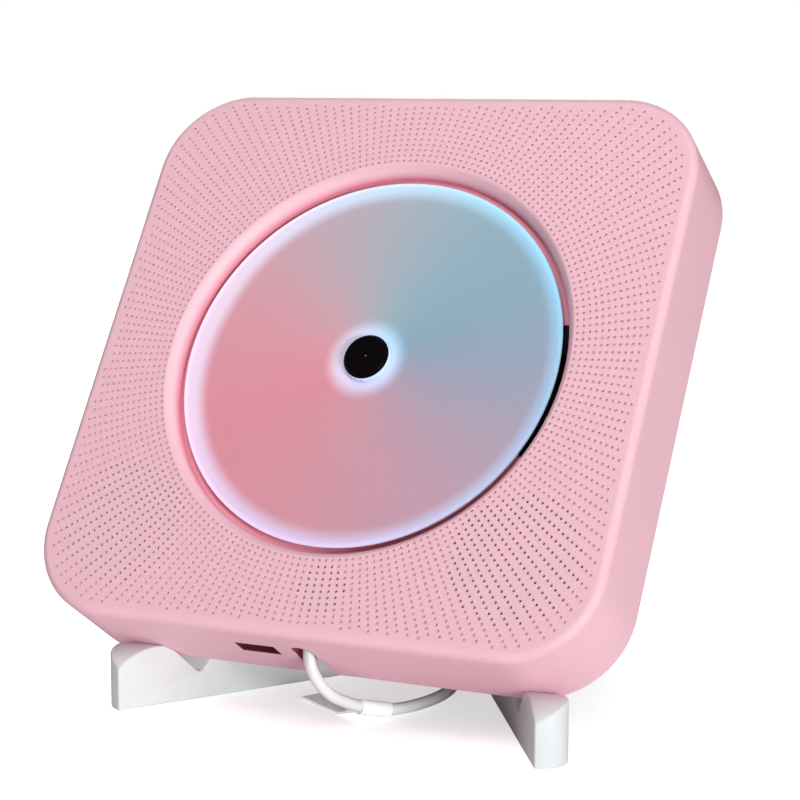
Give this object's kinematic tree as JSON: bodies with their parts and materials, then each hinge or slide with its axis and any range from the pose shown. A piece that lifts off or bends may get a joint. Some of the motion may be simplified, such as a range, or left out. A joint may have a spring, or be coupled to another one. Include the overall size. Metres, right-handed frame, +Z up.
{
  "type": "wall mounted disc player",
  "caption": "Square disc player with an open round well, leaning on a crossed two-plate stand, with a sled drive inside and a cord with a coil.",
  "frame": {"origin": "middle of the bounding box of player and stand, on the surface the stand rests on", "axes": "+X to the right across the face, +Z up, -Y towards the viewer, so the face looks towards -Y and up"},
  "size_m": [0.179, 0.1678, 0.1777],
  "materials": {
    "housing": "fine satin moulded plastic, pale pink",
    "keys": "satin moulded plastic",
    "pads": "soft grey rubber",
    "screws": "zinc plated",
    "deck": "black moulded plastic",
    "grommets": "soft black rubber",
    "motor": "plated steel can",
    "hub": "black moulded plastic",
    "hub_mat": "black rubber ring",
    "balls": "polished steel balls",
    "disc": "clear lacquer over a soft printed colour fade",
    "sled": "black glass-filled plastic",
    "lens": "coated lens",
    "rods": "ground steel rod",
    "pinion": "turned brass",
    "gear": "natural acetal",
    "boards": "green solder resist",
    "chips": "black epoxy",
    "cans": "sleeved aluminium can",
    "socket_black": "black moulded plastic",
    "socket_steel": "pressed steel shell",
    "window": "dark plastic ring",
    "eye": "dark infrared epoxy",
    "basket": "black pressed steel",
    "cone": "treated paper cone",
    "magnet": "ferrite",
    "stand": "white satin moulded plastic",
    "cord": "white flexible PVC",
    "label": "plain white paper label",
    "tie": "dark hook and loop strap",
    "usb_plug": "white moulded grip with a steel tongue"
  },
  "bodies": {
    "stand": {"stand_leg_left": "stand", "stand_leg_right": "stand", "power_cord": "cord", "cord_tail": "cord", "cord_coil": "cord", "cord_plug": "cord", "cord_label": "label", "cord_tie": "tie", "usb_plug": "usb_plug"},
    "player": {"back_cover": "housing", "back_pads": "pads", "board_capacitors": "cans", "board_chips": "chips", "board_screws": "screws", "case_screws": "screws", "deck_grommets": "grommets", "deck_screws": "screws", "drive_deck": "deck", "front_shell": "housing", "headphone_socket": "socket_black", "infrared_eye": "eye", "key_board": "boards", "key_switches": "socket_black", "light_board": "boards", "light_window": "window", "main_board": "boards", "port_board": "boards", "port_screws": "screws", "power_socket": "socket_black", "sled_motor": "motor", "sled_rods": "rods", "speaker_cone_left": "cone", "speaker_cone_right": "cone", "speaker_frame_left": "basket", "speaker_frame_right": "basket", "speaker_magnet_left": "magnet", "speaker_magnet_right": "magnet", "spindle_motor": "motor", "usb_socket": "socket_steel", "usb_tongue": "socket_black"},
    "spindle": {"spindle_hub": "hub", "hub_mat": "hub_mat", "clamp_balls": "balls"},
    "disc": {"compact_disc": "disc"},
    "sled": {"pickup_sled": "sled", "pickup_lens": "lens"},
    "feed_gear": {"feed_gear": "gear"},
    "motor_pinion": {"motor_pinion": "pinion"},
    "button_mode": {"button_mode": "keys"},
    "button_next": {"button_next": "keys"},
    "button_play": {"button_play": "keys"},
    "button_power": {"button_power": "keys"},
    "button_previous": {"button_previous": "keys"},
    "button_volume": {"button_volume": "keys"}
  },
  "joints": [
    {"name": "player_lift", "type": "slide", "parent": "stand", "child": "player", "axis": [0, 0.5519, 0.8339], "range_m": [0, 0.12]},
    {"name": "spindle_spin", "type": "hinge", "parent": "player", "child": "spindle", "pos_m": [0, -0.01549, 0.09896], "axis": [0, -0.8339, 0.5519], "continuous": true},
    {"name": "disc_lift", "type": "slide", "parent": "spindle", "child": "disc", "axis": [0, -0.8339, 0.5519], "range_m": [0, 0.03]},
    {"name": "sled_slide", "type": "slide", "parent": "player", "child": "sled", "axis": [1, 0, 0], "range_m": [0, 0.034]},
    {"name": "feed_gear_spin", "type": "hinge", "parent": "player", "child": "feed_gear", "pos_m": [0.026, 0.00637, 0.11386], "axis": [0, -0.8339, 0.5519], "range_deg": [-1, 651]},
    {"name": "motor_pinion_spin", "type": "hinge", "parent": "player", "child": "motor_pinion", "pos_m": [0.03339, 0.01124, 0.12121], "axis": [0, -0.8339, 0.5519], "range_deg": [-2340, 2]},
    {"name": "button_power_press", "type": "slide", "parent": "player", "child": "button_power", "axis": [0, -0.5519, -0.8339], "range_m": [0, 0.0005], "stiffness_N_per_m": 900, "springref_m": -0.0004},
    {"name": "button_mode_press", "type": "slide", "parent": "player", "child": "button_mode", "axis": [0, -0.5519, -0.8339], "range_m": [0, 0.0005], "stiffness_N_per_m": 900, "springref_m": -0.0004},
    {"name": "button_previous_press", "type": "slide", "parent": "player", "child": "button_previous", "axis": [0, -0.5519, -0.8339], "range_m": [0, 0.0005], "stiffness_N_per_m": 900, "springref_m": -0.0004},
    {"name": "button_play_press", "type": "slide", "parent": "player", "child": "button_play", "axis": [0, -0.5519, -0.8339], "range_m": [0, 0.0005], "stiffness_N_per_m": 900, "springref_m": -0.0004},
    {"name": "button_next_press", "type": "slide", "parent": "player", "child": "button_next", "axis": [0, -0.5519, -0.8339], "range_m": [0, 0.0005], "stiffness_N_per_m": 900, "springref_m": -0.0004},
    {"name": "button_volume_press", "type": "slide", "parent": "player", "child": "button_volume", "axis": [0, -0.5519, -0.8339], "range_m": [0, 0.0005], "stiffness_N_per_m": 900, "springref_m": -0.0004}
  ],
  "couplings": [
    {"joint": "feed_gear_spin", "follows": "sled_slide", "rad_per_m": 333.33},
    {"joint": "motor_pinion_spin", "follows": "sled_slide", "rad_per_m": -1200}
  ]
}
